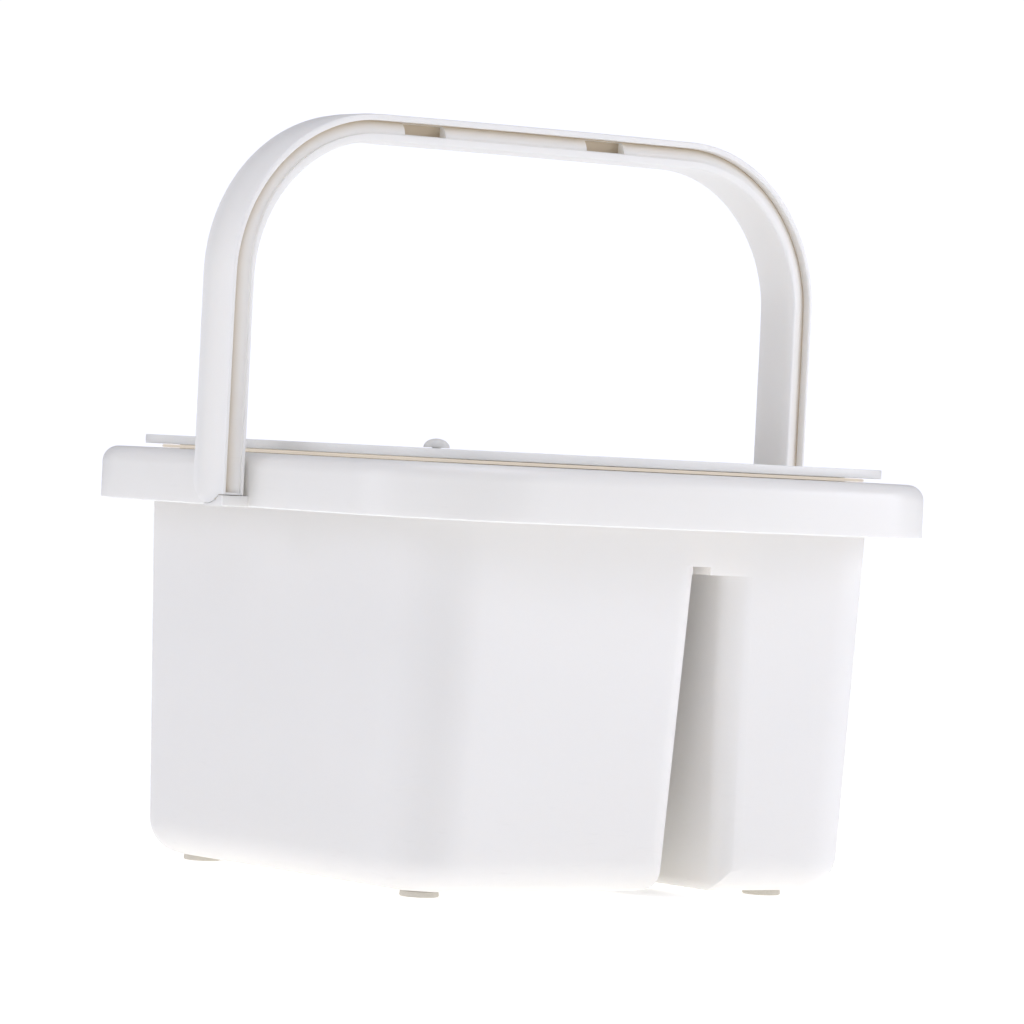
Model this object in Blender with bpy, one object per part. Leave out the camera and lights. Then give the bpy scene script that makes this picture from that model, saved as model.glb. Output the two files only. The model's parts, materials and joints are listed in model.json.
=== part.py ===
"""Cleaning caddy: a two-compartment tub with an overhanging collar, a flat lid and a folding bail handle.

Units are metres, +Z is up, the front is -Y. The feet rest on z = 0 and the tub is centred on the origin.
"""
import math

import bpy
import numpy as np

# Heights above the floor
FOOT_HEIGHT = 0.0030
TUB_BOTTOM = FOOT_HEIGHT
COLLAR_BOTTOM = 0.1707
COLLAR_TOP = COLLAR_BOTTOM + 0.0250
CLEARANCE = 0.0003

# Tub: half sizes at its bottom and at its top edge
TUB_HALF_X = (0.1290, 0.1305)
TUB_HALF_Y = (0.1205, 0.1311)
TUB_CORNER = 0.0315
TUB_WALL = 0.0030
TUB_FLOOR = 0.0030
TUB_BOTTOM_ROUND = 0.0160
INNER_BOTTOM_ROUND = TUB_BOTTOM_ROUND - TUB_WALL
INNER_CORNER = 0.0090

# Slot that parts the large compartment from the small one
SLOT_LEFT_X = (0.0165, 0.0211)
SLOT_RIGHT_X = (0.0460, 0.0380)
SLOT_ROOF = COLLAR_BOTTOM - 0.0207
SLOT_STEP_ROOF = COLLAR_BOTTOM - 0.0170
SLOT_STEP_X = 0.0255
SLOT_EDGE_ROUND = 0.0120
SLOT_BOTTOM_ROUNDS = (0.0110, 0.0045)
BRIDGE = 0.0030

# Collar: half sizes, corner radius and how far its front and back bow outwards
COLLAR_HALF_X = 0.1535
COLLAR_HALF_Y = 0.1576
COLLAR_CORNER = 0.0564
COLLAR_BOW = 0.0120
COLLAR_SKIN = 0.0025
COLLAR_ROUND = 0.0075
COLLAR_LEDGE = 0.0110
RIB_WIDTH = 0.0020
RIB_DEPTH = 0.0040

# Lid
LID_INSET = 0.0200
LID_GAP = 0.0020
LID_THICKNESS = 0.0042
LID_EDGE = 0.0009
LID_LIP_HEIGHT = 0.0038
LID_LIP_WIDTH = 0.0020
SEAL_INSET = 0.0280
SEAL_WIDTH = 0.0045
KNOB_X = -0.0420
KNOB_RADIUS = 0.0062
KNOB_HEIGHT = 0.0043
KNOB_STEM_RADIUS = 0.0020
KNOB_HEAD_RADIUS = 0.0034
KNOB_HEAD_HEIGHT = 0.0012

# Handle: a bail whose outer faces stand clear of the collar's ends
HANDLE_HALF_X = 0.1675
HANDLE_TOP = COLLAR_BOTTOM + 0.1847
HANDLE_WIDTH = 0.0266
LEG_THICKNESS = 0.0116
BAR_THICKNESS = 0.0130
SHOULDER_RADIUS = 0.0780
BAR_CROWN = 0.0003
LEG_FLANGES = (0.0018, 0.0016)
BAR_FLANGES = (0.0031, 0.0038)
GROOVE_DEPTHS = (0.0045, 0.0014)
STRAP_EDGE = 0.0007
GROOVE_END = COLLAR_BOTTOM + 0.0064
PIVOT_Z = COLLAR_BOTTOM + 0.0145
STUB_RADIUS = 0.0040
STUB_LENGTH = 0.0100
BOSS_RADIUS = 0.0080
LUG_TOP = COLLAR_BOTTOM + 0.0050
LUG_BACK_Y = 0.0027
POCKETS_X = ((-0.0765, -0.0535), (0.0277, 0.0498))
POCKET_EXTRA = 0.0022

# Feet
FOOT_RADIUS = 0.0090
FOOT_EDGE = 0.0008
FOOT_X = (-0.1025, 0.0920)
FOOT_Y = 0.0925

CORNER_STEPS = 9
SIDE_STEPS = 8


def clear_scene():
    """Remove whatever the scene starts with."""
    for obj in list(bpy.data.objects):
        bpy.data.objects.remove(obj, do_unlink=True)


def plastic(name, colour, roughness):
    """A moulded plastic of one colour."""
    material = bpy.data.materials.new(name)
    material.use_nodes = True
    shader = material.node_tree.nodes["Principled BSDF"]
    shader.inputs["Base Color"].default_value = (*colour, 1.0)
    shader.inputs["Roughness"].default_value = roughness
    shader.inputs["Metallic"].default_value = 0.0
    return material


def lerp(pair, t):
    """Value between the two of a pair."""
    return pair[0] + (pair[1] - pair[0]) * t


def outline(x_min, x_max, half_y, radii, bow=0.0):
    """Plan outline, anticlockwise; corner radii run front left, front right, back right, back left.

    The front and back sides bow outwards by bow at their middle.
    """
    corners = (
        (x_min, -half_y, 1.0, 1.0, math.pi),
        (x_max, -half_y, -1.0, 1.0, 1.5 * math.pi),
        (x_max, half_y, -1.0, -1.0, 0.0),
        (x_min, half_y, 1.0, -1.0, 0.5 * math.pi),
    )
    points = []
    for radius, (x, y, sx, sy, start) in zip(radii, corners):
        angles = np.linspace(start, start + 0.5 * math.pi, CORNER_STEPS)
        arc_x = x + sx * radius + radius * np.cos(angles)
        arc_y = y + sy * radius + radius * np.sin(angles)
        points.append(np.stack([arc_x, arc_y], axis=1))
    ring = []
    for this, following in zip(points, points[1:] + points[:1]):
        steps = np.linspace(0.0, 1.0, SIDE_STEPS + 1)[1:-1, None]
        ring.append(this)
        ring.append(this[-1] + (following[0] - this[-1]) * steps)
    ring = np.concatenate(ring)
    middle = 0.5 * (x_min + x_max)
    half = 0.5 * (x_max - x_min)
    swell = 1.0 + bow / half_y * (1.0 - ((ring[:, 0] - middle) / half) ** 2)
    ring[:, 1] *= swell
    return ring


def collar_outline(inset):
    """The collar's plan outline, drawn in by inset."""
    radius = COLLAR_CORNER - inset
    half_x = COLLAR_HALF_X - inset
    return outline(-half_x, half_x, COLLAR_HALF_Y - inset, [radius] * 4, COLLAR_BOW)


def tub_outline(z, inset):
    """The tub's plan outline at height z, drawn in by inset."""
    t = (z - TUB_BOTTOM) / (COLLAR_TOP - TUB_BOTTOM)
    half_x = lerp(TUB_HALF_X, t) - inset
    return outline(-half_x, half_x, lerp(TUB_HALF_Y, t) - inset, [TUB_CORNER - inset] * 4)


def at_height(ring, z):
    """Plan ring lifted to height z."""
    return np.column_stack([ring, np.full(len(ring), z)])


def mesh_object(name, vertices, faces, material=None):
    """Object made from vertices and faces."""
    mesh = bpy.data.meshes.new(name)
    mesh.from_pydata([tuple(v) for v in vertices], [], [tuple(f) for f in faces])
    mesh.update()
    obj = bpy.data.objects.new(name, mesh)
    bpy.context.scene.collection.objects.link(obj)
    if material is not None:
        mesh.materials.append(material)
    return obj


def loft(name, rings, material=None, closed=False):
    """Skin over a list of equal rings: capped at both ends, or joined from last to first when closed."""
    count = len(rings[0])
    vertices = np.concatenate(rings)
    faces = []
    spans = len(rings) if closed else len(rings) - 1
    for k in range(spans):
        low = k * count
        high = ((k + 1) % len(rings)) * count
        for i in range(count):
            j = (i + 1) % count
            faces.append((low + i, low + j, high + j, high + i))
    if not closed:
        faces.append(tuple(range(count - 1, -1, -1)))
        faces.append(tuple(range(len(vertices) - count, len(vertices))))
    return mesh_object(name, vertices, faces, material)


def smooth(obj, degrees=35.0):
    """Shade smooth, with edges over the given angle kept sharp."""
    obj.data.shade_smooth()
    obj.data.set_sharp_from_angle(angle=math.radians(degrees))


def hide_cutter(obj):
    """Keep a cutter out of the finished object."""
    obj.hide_render = True
    obj.display_type = "WIRE"


def boolean(obj, tool, operation):
    """Add an exact Boolean with a hidden tool object."""
    hide_cutter(tool)
    modifier = obj.modifiers.new(tool.name, "BOOLEAN")
    modifier.operation = operation
    modifier.solver = "EXACT"
    modifier.object = tool


def box(name, low, high):
    """Axis-aligned block between two corners."""
    ring = np.array([(low[0], low[1]), (high[0], low[1]), (high[0], high[1]), (low[0], high[1])])
    return loft(name, [at_height(ring, low[2]), at_height(ring, high[2])])


def rod_along_x(name, x_from, x_to, radius, y, z, segments=32):
    """Round rod along X."""
    angles = np.linspace(0.0, 2.0 * math.pi, segments, endpoint=False)
    rings = []
    for x in (x_from, x_to):
        across = y + radius * np.cos(angles)
        rings.append(np.column_stack([np.full(segments, x), across, z + radius * np.sin(angles)]))
    return loft(name, rings)


def prism_along_x(name, x_from, x_to, profile):
    """Closed (y, z) profile, anticlockwise seen from +X, swept along X."""
    profile = np.asarray(profile)
    rings = [np.column_stack([np.full(len(profile), x), profile]) for x in (x_from, x_to)]
    return loft(name, rings)


def turned(name, profile, segments, material=None):
    """Solid of revolution about Z, from (radius, z) points that run upwards along its outside."""
    angles = np.linspace(0.0, 2.0 * math.pi, segments, endpoint=False)
    circle = np.column_stack([np.cos(angles), np.sin(angles)])
    rings = [at_height(radius * circle, z) for radius, z in profile]
    return loft(name, rings, material)


def tub_outer(material):
    """Drafted outer block of the tub with a rounded bottom edge."""
    top = COLLAR_TOP - COLLAR_SKIN - CLEARANCE
    rings = []
    for angle in np.linspace(0.0, 0.5 * math.pi, 6):
        inset = TUB_BOTTOM_ROUND * (1.0 - math.sin(angle))
        z = TUB_BOTTOM + TUB_BOTTOM_ROUND * (1.0 - math.cos(angle))
        rings.append(at_height(tub_outline(z, inset), z))
    rings.append(at_height(tub_outline(top, 0.0), top))
    return loft("tub", rings, material)


def slot_side(edge, outwards, half_y):
    """One side of the slot in plan, from back to front, flared by a round where it meets the tub's ends."""
    angles = np.linspace(0.0, 0.5 * math.pi, 6)
    flare = np.append(SLOT_EDGE_ROUND * (1.0 - np.cos(angles)), SLOT_EDGE_ROUND)
    along = np.append(half_y - SLOT_EDGE_ROUND * (1.0 - np.sin(angles)), half_y + SLOT_EDGE_ROUND)
    x = edge + outwards * np.concatenate([flare[::-1], flare])
    return np.column_stack([x, np.concatenate([along[::-1], -along])])


def slot_ring(z, left, right):
    """Plan ring of the slot at height z between two x positions."""
    half_y = lerp(TUB_HALF_Y, (z - TUB_BOTTOM) / (COLLAR_TOP - TUB_BOTTOM))
    return at_height(np.concatenate([slot_side(right, 1.0, half_y)[::-1], slot_side(left, -1.0, half_y)]), z)


def slot_cutter():
    """Through slot along Y, rounded where its walls meet the tub's underside."""
    left_round, right_round = SLOT_BOTTOM_ROUNDS
    rings = [slot_ring(TUB_BOTTOM - TUB_FLOOR, SLOT_LEFT_X[0] - left_round, SLOT_RIGHT_X[0] + right_round)]
    for angle in np.linspace(0.0, 0.5 * math.pi, 6):
        z = TUB_BOTTOM + left_round * (1.0 - math.cos(angle))
        t = (z - TUB_BOTTOM) / (SLOT_ROOF - TUB_BOTTOM)
        right_rise = min((z - TUB_BOTTOM) / right_round, 1.0)
        right_flare = right_round * (1.0 - math.sqrt(1.0 - (1.0 - right_rise) ** 2))
        left = lerp(SLOT_LEFT_X, t) - left_round * (1.0 - math.sin(angle))
        rings.append(slot_ring(z, left, lerp(SLOT_RIGHT_X, t) + right_flare))
    rings.append(slot_ring(SLOT_ROOF, SLOT_LEFT_X[1], SLOT_RIGHT_X[1]))
    return loft("slot_cutter", rings)


def slot_step_cutter():
    """Shallow step in the slot's roof, along its large-compartment side, flared like that side."""
    rings = []
    for z in (SLOT_ROOF - 0.5 * BRIDGE, SLOT_STEP_ROOF):
        side = slot_side(SLOT_LEFT_X[1], -1.0, lerp(TUB_HALF_Y, 0.8))
        reach = side[0, 1]
        straight = np.array([(SLOT_STEP_X, -reach), (SLOT_STEP_X, reach)])
        rings.append(at_height(np.concatenate([straight, side]), z))
    return loft("slot_step_cutter", rings)


def pocket_ring(z, left, right, inset, radii):
    """Plan ring of a compartment's inside at height z."""
    half_y = lerp(TUB_HALF_Y, (z - TUB_BOTTOM) / (COLLAR_TOP - TUB_BOTTOM)) - TUB_WALL - inset
    return at_height(outline(left, right, half_y, radii), z)


def compartment_cutter(name, is_large):
    """Inside of one compartment, drafted like its walls, open at the top."""
    floor = TUB_BOTTOM + TUB_FLOOR
    outer_radius = TUB_CORNER - TUB_WALL
    levels = []
    for angle in np.linspace(0.0, 0.5 * math.pi, 5):
        inset = INNER_BOTTOM_ROUND * (1.0 - math.sin(angle))
        levels.append((floor + INNER_BOTTOM_ROUND * (1.0 - math.cos(angle)), inset))
    levels.append((COLLAR_TOP + BRIDGE, 0.0))
    rings = []
    for z, inset in levels:
        tub_t = (z - TUB_BOTTOM) / (COLLAR_TOP - TUB_BOTTOM)
        slot_t = (z - TUB_BOTTOM) / (SLOT_ROOF - TUB_BOTTOM)
        wall = lerp(TUB_HALF_X, tub_t) - TUB_WALL - inset
        if is_large:
            left, right = -wall, lerp(SLOT_LEFT_X, slot_t) - TUB_WALL - inset
            radii = (outer_radius, INNER_CORNER, INNER_CORNER, outer_radius)
        else:
            left, right = lerp(SLOT_RIGHT_X, slot_t) + TUB_WALL + inset, wall
            radii = (INNER_CORNER, outer_radius, outer_radius, INNER_CORNER)
        rings.append(pocket_ring(z, left, right, inset, radii))
    return loft(name, rings)


def middle_tray_cutter():
    """Shallow tray over the bridge between the two compartments."""
    floor = SLOT_STEP_ROOF + BRIDGE
    reach = lerp(TUB_HALF_Y, 0.8) - TUB_WALL
    return box("middle_tray_cutter", (SLOT_LEFT_X[1] + BRIDGE, -reach, floor),
               (SLOT_RIGHT_X[1] - BRIDGE, reach, COLLAR_TOP + BRIDGE))


def make_tub(material):
    """Tub with its two compartments, slot and middle tray."""
    tub = tub_outer(material)
    boolean(tub, slot_cutter(), "DIFFERENCE")
    boolean(tub, slot_step_cutter(), "DIFFERENCE")
    boolean(tub, compartment_cutter("large_compartment_cutter", True), "DIFFERENCE")
    boolean(tub, compartment_cutter("small_compartment_cutter", False), "DIFFERENCE")
    boolean(tub, middle_tray_cutter(), "DIFFERENCE")
    smooth(tub)
    return tub


def collar_rings():
    """Rings of the collar's section: skirt, rounded top, lid ledge and the rib outside the tub wall."""
    underside = COLLAR_TOP - COLLAR_SKIN
    rings = [at_height(collar_outline(0.0), COLLAR_BOTTOM)]
    for angle in np.linspace(0.0, 0.5 * math.pi, 7):
        inset = COLLAR_ROUND * (1.0 - math.cos(angle))
        rings.append(at_height(collar_outline(inset), COLLAR_TOP - COLLAR_ROUND * (1.0 - math.sin(angle))))
    rings.append(at_height(tub_outline(COLLAR_TOP, COLLAR_LEDGE), COLLAR_TOP))
    rings.append(at_height(tub_outline(COLLAR_TOP, COLLAR_LEDGE), underside))
    grip = -2.0 * CLEARANCE
    rings.append(at_height(tub_outline(COLLAR_TOP, grip), underside))
    rings.append(at_height(tub_outline(COLLAR_TOP, grip), underside - RIB_DEPTH))
    rings.append(at_height(tub_outline(COLLAR_TOP, grip - RIB_WIDTH), underside - RIB_DEPTH))
    rings.append(at_height(tub_outline(COLLAR_TOP, grip - RIB_WIDTH), underside))
    rings.append(at_height(collar_outline(COLLAR_ROUND), underside))
    rings.append(at_height(collar_outline(COLLAR_SKIN), COLLAR_TOP - COLLAR_ROUND))
    rings.append(at_height(collar_outline(COLLAR_SKIN), COLLAR_BOTTOM))
    return rings


def leg_end_profile(radius, heel_z, reach):
    """(y, z) region outside a leg's round end: below the heel in front, below the pivot behind."""
    drop = heel_z - PIVOT_Z
    start = math.pi + math.asin(-drop / radius)
    angles = np.linspace(start, 2.0 * math.pi, 17)
    arc = [(radius * math.cos(a), PIVOT_Z + radius * math.sin(a)) for a in angles]
    outside = [(reach, PIVOT_Z), (reach, PIVOT_Z - reach), (-reach, PIVOT_Z - reach), (-reach, heel_z)]
    return (arc + outside)[::-1]


def pivot_lug(side):
    """Lug under a leg's heel, hollowed to the leg's round end."""
    radius = 0.5 * HANDLE_WIDTH + CLEARANCE
    low = COLLAR_BOTTOM
    first = math.pi + math.asin((PIVOT_Z - LUG_TOP) / radius)
    last = 1.5 * math.pi + math.asin(LUG_BACK_Y / radius)
    angles = np.linspace(first, last, 12)
    seat = [(radius * math.cos(a), PIVOT_Z + radius * math.sin(a)) for a in angles]
    profile = [(-0.5 * HANDLE_WIDTH, LUG_TOP), (-0.5 * HANDLE_WIDTH, low), (LUG_BACK_Y, low)] + seat[::-1]
    inner = COLLAR_HALF_X - 0.5 * COLLAR_SKIN
    edges = sorted((side * inner, side * HANDLE_HALF_X))
    return prism_along_x("lug_tool_" + side_name(side), edges[0], edges[1], profile)


def side_name(side):
    """Name of an end of the caddy."""
    return "left" if side < 0 else "right"


def pivot_boss(side):
    """Round boss between the collar's skirt and a leg."""
    inner = COLLAR_HALF_X - 0.5 * COLLAR_SKIN
    outer = HANDLE_HALF_X - LEG_THICKNESS - CLEARANCE
    edges = sorted((side * inner, side * outer))
    return rod_along_x("boss_tool_" + side_name(side), edges[0], edges[1], BOSS_RADIUS, 0.0, PIVOT_Z)


def make_collar(material):
    """Collar with a lug, a boss and a bearing bore at each end."""
    collar = loft("rim_collar", collar_rings(), material, closed=True)
    for side in (-1, 1):
        boolean(collar, pivot_lug(side), "UNION")
        boolean(collar, pivot_boss(side), "UNION")
    reach = HANDLE_HALF_X
    for side in (-1, 1):
        edges = sorted((side * (COLLAR_HALF_X - 2.0 * COLLAR_SKIN), side * reach))
        bore = rod_along_x("bore_cutter_" + side_name(side), edges[0], edges[1],
                           STUB_RADIUS + CLEARANCE, 0.0, PIVOT_Z, 24)
        boolean(collar, bore, "DIFFERENCE")
    smooth(collar)
    return collar


def lid_rings():
    """Rings of the lid: underside, locating lip, plate edge and top."""
    low = COLLAR_TOP + LID_GAP
    high = low + LID_THICKNESS
    lip_outer = COLLAR_LEDGE + 3.0 * CLEARANCE
    lip_inner = lip_outer + LID_LIP_WIDTH
    rings = [
        at_height(tub_outline(COLLAR_TOP, lip_inner), low),
        at_height(tub_outline(COLLAR_TOP, lip_inner), low - LID_LIP_HEIGHT),
        at_height(tub_outline(COLLAR_TOP, lip_outer), low - LID_LIP_HEIGHT),
        at_height(tub_outline(COLLAR_TOP, lip_outer), low),
        at_height(collar_outline(LID_INSET + LID_EDGE), low),
        at_height(collar_outline(LID_INSET), low + LID_EDGE),
        at_height(collar_outline(LID_INSET), high - LID_EDGE),
        at_height(collar_outline(LID_INSET + LID_EDGE), high),
    ]
    return rings


def make_lid(material):
    """Flat lid plate with a low locating lip and a hole for the knob's stem."""
    lid = loft("lid", lid_rings(), material)
    hole = turned("knob_hole_cutter", ((KNOB_STEM_RADIUS + CLEARANCE, 0.0),
                                       (KNOB_STEM_RADIUS + CLEARANCE, 2.0 * COLLAR_TOP)), 20)
    hole.location = (KNOB_X, 0.0, 0.0)
    boolean(lid, hole, "DIFFERENCE")
    smooth(lid)
    return lid


def make_seal(material):
    """Flat sealing ring between the lid plate and the collar."""
    low = COLLAR_TOP + CLEARANCE
    high = COLLAR_TOP + LID_GAP - CLEARANCE
    rings = [
        at_height(collar_outline(SEAL_INSET), low),
        at_height(collar_outline(SEAL_INSET), high),
        at_height(collar_outline(SEAL_INSET + SEAL_WIDTH), high),
        at_height(collar_outline(SEAL_INSET + SEAL_WIDTH), low),
    ]
    seal = loft("lid_seal", rings, material, closed=True)
    smooth(seal)
    return seal


def make_knob(material):
    """Low domed lift knob with a stem through the lid and a retaining head under it."""
    stem = LID_THICKNESS + 2.0 * CLEARANCE
    profile = [
        (KNOB_HEAD_RADIUS * 0.7, -stem - KNOB_HEAD_HEIGHT),
        (KNOB_HEAD_RADIUS, -stem - 0.5 * KNOB_HEAD_HEIGHT),
        (KNOB_HEAD_RADIUS, -stem),
        (KNOB_STEM_RADIUS, -stem),
        (KNOB_STEM_RADIUS, 0.0),
    ]
    for angle in np.linspace(0.0, 0.46 * math.pi, 9):
        profile.append((KNOB_RADIUS * math.cos(angle), KNOB_HEIGHT * math.sin(angle)))
    knob = turned("lid_knob", profile, 32, material)
    knob.location = (KNOB_X, 0.0, COLLAR_TOP + LID_GAP + LID_THICKNESS + CLEARANCE)
    smooth(knob)
    return knob


def handle_path():
    """Centre line of the bail as (x, z, outward normal, strap thickness) along its length."""
    half = HANDLE_HALF_X
    low = PIVOT_Z - 0.5 * HANDLE_WIDTH - CLEARANCE
    shoulder_z = HANDLE_TOP - SHOULDER_RADIUS
    stations = []
    for z in (low, GROOVE_END, GROOVE_END, shoulder_z - 0.03):
        stations.append((-half, z, math.pi))
    for angle in np.linspace(math.pi, 0.5 * math.pi, 13):
        x = -half + SHOULDER_RADIUS + SHOULDER_RADIUS * math.cos(angle)
        stations.append((x, shoulder_z + SHOULDER_RADIUS * math.sin(angle), angle))
    flat = half - SHOULDER_RADIUS
    for x in np.linspace(-flat, flat, 13)[1:-1]:
        stations.append((x, HANDLE_TOP + BAR_CROWN * (1.0 - (x / flat) ** 2), 0.5 * math.pi))
    left = [s for s in stations if s[0] < -flat + 1e-9]
    right = [(-x, z, math.pi - angle) for x, z, angle in left[::-1]]
    return left + stations[len(left):] + right


def strap_section(depths, thickness, flanges):
    """Strap section as (distance inwards from the outer face, y), anticlockwise.

    The front and back grooves are deepest beside the outer flange; their floors rise to the inner one.
    """
    half = 0.5 * HANDLE_WIDTH
    outer = flanges[0]
    inner = thickness - flanges[1]
    edge = STRAP_EDGE
    front = [(edge, -half), (outer - 0.5 * edge, -half), (outer, -half + 0.5 * edge),
             (outer + 0.2 * edge, -half + depths[0]), (inner - 0.2 * edge, -half + depths[1]),
             (inner, -half + 0.5 * edge), (inner + 0.5 * edge, -half), (thickness - edge, -half),
             (thickness, -half + edge)]
    back = [(d, -y) for d, y in front[::-1]]
    return front + back + [(0.0, half - edge), (0.0, -half + edge)]


def handle_rings():
    """Rings of the strap along the bail: solid below its grooves, thicker from the shoulders up."""
    thicken_from = HANDLE_TOP - 1.25 * SHOULDER_RADIUS
    path = handle_path()
    rings = []
    for index, (x, z, angle) in enumerate(path):
        rise = min(max((z - thicken_from) / SHOULDER_RADIUS, 0.0), 1.0)
        blend = rise * rise * (3.0 - 2.0 * rise)
        thickness = LEG_THICKNESS + (BAR_THICKNESS - LEG_THICKNESS) * blend
        flanges = [leg + (bar - leg) * blend for leg, bar in zip(LEG_FLANGES, BAR_FLANGES)]
        near_end = min(index, len(path) - 1 - index) < 2
        flush = (0.6 * STRAP_EDGE, 0.6 * STRAP_EDGE)
        section = strap_section(flush if near_end else GROOVE_DEPTHS, thickness, flanges)
        ring = [(x - d * math.cos(angle), y, z - d * math.sin(angle)) for d, y in section]
        rings.append(np.array(ring))
    return rings


def pocket_cutters():
    """Two deeper pockets in the front groove of the top bar."""
    high_z = HANDLE_TOP - BAR_FLANGES[0] - STRAP_EDGE
    low_z = HANDLE_TOP - BAR_THICKNESS + BAR_FLANGES[1] + STRAP_EDGE
    low_y = -0.5 * HANDLE_WIDTH - GROOVE_DEPTHS[0]
    high_y = -0.5 * HANDLE_WIDTH + GROOVE_DEPTHS[0] + POCKET_EXTRA
    cutters = []
    for number, (x_from, x_to) in enumerate(POCKETS_X):
        cutters.append(box("pocket_cutter_%d" % number, (x_from, low_y, low_z), (x_to, high_y, high_z)))
    return cutters


def make_handle(material):
    """Bail handle with grooved strap, round leg ends and a pivot stub inside each leg."""
    handle = loft("handle", handle_rings(), material)
    profile = leg_end_profile(0.5 * HANDLE_WIDTH, LUG_TOP + CLEARANCE, HANDLE_WIDTH)
    trim = prism_along_x("leg_end_cutter", -1.2 * HANDLE_HALF_X, 1.2 * HANDLE_HALF_X, profile)
    boolean(handle, trim, "DIFFERENCE")
    for side in (-1, 1):
        inner = HANDLE_HALF_X - 0.5 * LEG_THICKNESS
        edges = sorted((side * inner, side * (HANDLE_HALF_X - LEG_THICKNESS - STUB_LENGTH)))
        stub = rod_along_x("stub_tool_" + side_name(side), edges[0], edges[1], STUB_RADIUS, 0.0, PIVOT_Z, 24)
        boolean(handle, stub, "UNION")
    for cutter in pocket_cutters():
        boolean(handle, cutter, "DIFFERENCE")
    smooth(handle)
    pivot = bpy.data.objects.new("handle_pivot", None)
    bpy.context.scene.collection.objects.link(pivot)
    pivot.location = (0.0, 0.0, PIVOT_Z)
    handle.parent = pivot
    handle.location = (0.0, 0.0, -PIVOT_Z)
    return handle


def make_feet(material):
    """Four round pads under the tub's corners."""
    top = FOOT_HEIGHT - CLEARANCE
    profile = ((FOOT_RADIUS - FOOT_EDGE, 0.0), (FOOT_RADIUS, FOOT_EDGE), (FOOT_RADIUS, top))
    for x, end in zip(FOOT_X, ("left", "right")):
        for y, face in ((-FOOT_Y, "front"), (FOOT_Y, "back")):
            foot = turned("foot_%s_%s" % (face, end), profile, 28, material)
            foot.location = (x, y, 0.0)
            smooth(foot)


def main():
    clear_scene()
    tub_plastic = plastic("tub_matte_polypropylene", (0.80, 0.80, 0.80), 0.55)
    collar_plastic = plastic("collar_satin_polypropylene", (0.84, 0.84, 0.85), 0.32)
    lid_plastic = plastic("lid_satin_polypropylene", (0.84, 0.84, 0.83), 0.35)
    handle_plastic = plastic("handle_polypropylene", (0.80, 0.80, 0.81), 0.42)
    knob_plastic = plastic("knob_polypropylene", (0.78, 0.78, 0.78), 0.40)
    seal_rubber = plastic("seal_tan_rubber", (0.55, 0.44, 0.33), 0.70)
    foot_rubber = plastic("foot_grey_rubber", (0.48, 0.44, 0.42), 0.75)
    make_tub(tub_plastic)
    make_collar(collar_plastic)
    make_lid(lid_plastic)
    make_seal(seal_rubber)
    make_knob(knob_plastic)
    make_handle(handle_plastic)
    make_feet(foot_rubber)


main()
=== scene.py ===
import json
import math

import bpy
import numpy as np
from bpy.props import FloatProperty, FloatVectorProperty, PointerProperty, StringProperty
from mathutils import Matrix, Vector


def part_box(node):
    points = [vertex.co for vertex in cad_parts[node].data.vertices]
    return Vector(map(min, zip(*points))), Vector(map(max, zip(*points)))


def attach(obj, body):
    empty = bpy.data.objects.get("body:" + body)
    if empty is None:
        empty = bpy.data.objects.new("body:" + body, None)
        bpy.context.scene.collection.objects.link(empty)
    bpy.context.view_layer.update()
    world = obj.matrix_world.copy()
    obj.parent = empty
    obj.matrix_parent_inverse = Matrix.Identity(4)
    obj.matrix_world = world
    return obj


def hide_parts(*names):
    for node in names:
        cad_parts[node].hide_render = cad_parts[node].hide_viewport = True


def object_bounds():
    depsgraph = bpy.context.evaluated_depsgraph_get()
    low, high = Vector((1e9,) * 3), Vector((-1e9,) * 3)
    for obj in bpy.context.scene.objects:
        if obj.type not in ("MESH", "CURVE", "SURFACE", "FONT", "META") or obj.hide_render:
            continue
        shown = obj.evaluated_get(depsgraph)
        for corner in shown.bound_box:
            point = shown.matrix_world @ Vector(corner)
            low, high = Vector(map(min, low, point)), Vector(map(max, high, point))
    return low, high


bl_info = {
    "name": "Cleaning caddy",
    "version": (1, 0, 0),
    "blender": (4, 5, 0),
    "location": "View3D > Sidebar > Caddy",
    "description": "Two-compartment cleaning caddy with a collar, a lift-off lid and a folding bail",
    "category": "Object",
}

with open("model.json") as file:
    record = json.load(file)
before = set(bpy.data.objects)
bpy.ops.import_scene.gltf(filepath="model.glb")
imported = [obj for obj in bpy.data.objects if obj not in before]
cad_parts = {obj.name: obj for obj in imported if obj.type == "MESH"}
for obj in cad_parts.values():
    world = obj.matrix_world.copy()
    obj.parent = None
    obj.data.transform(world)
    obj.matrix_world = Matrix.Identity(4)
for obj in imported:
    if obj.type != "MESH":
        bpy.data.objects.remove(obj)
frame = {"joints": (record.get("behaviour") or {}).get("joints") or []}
CAD_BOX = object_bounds()

# Lowest and highest corners of the CAD solids, which every piece here keeps to
TUB_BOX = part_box("tub")
COLLAR_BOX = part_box("rim_collar")
LID_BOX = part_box("lid")
SEAL_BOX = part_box("lid_seal")
KNOB_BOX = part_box("lid_knob")
HANDLE_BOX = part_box("handle")
PIVOT_Z = next(joint["pos_m"][2] for joint in frame["joints"] if joint["name"] == "handle_swing")

# Grid points of a corner, and steps of a straight run, in a plan outline
CORNER_STEPS = 25
SIDE_STEPS = 16

QUARTER_TURN = 0.5 * math.pi
HALF_TURN = math.pi
FULL_TURN = 2.0 * math.pi

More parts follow.
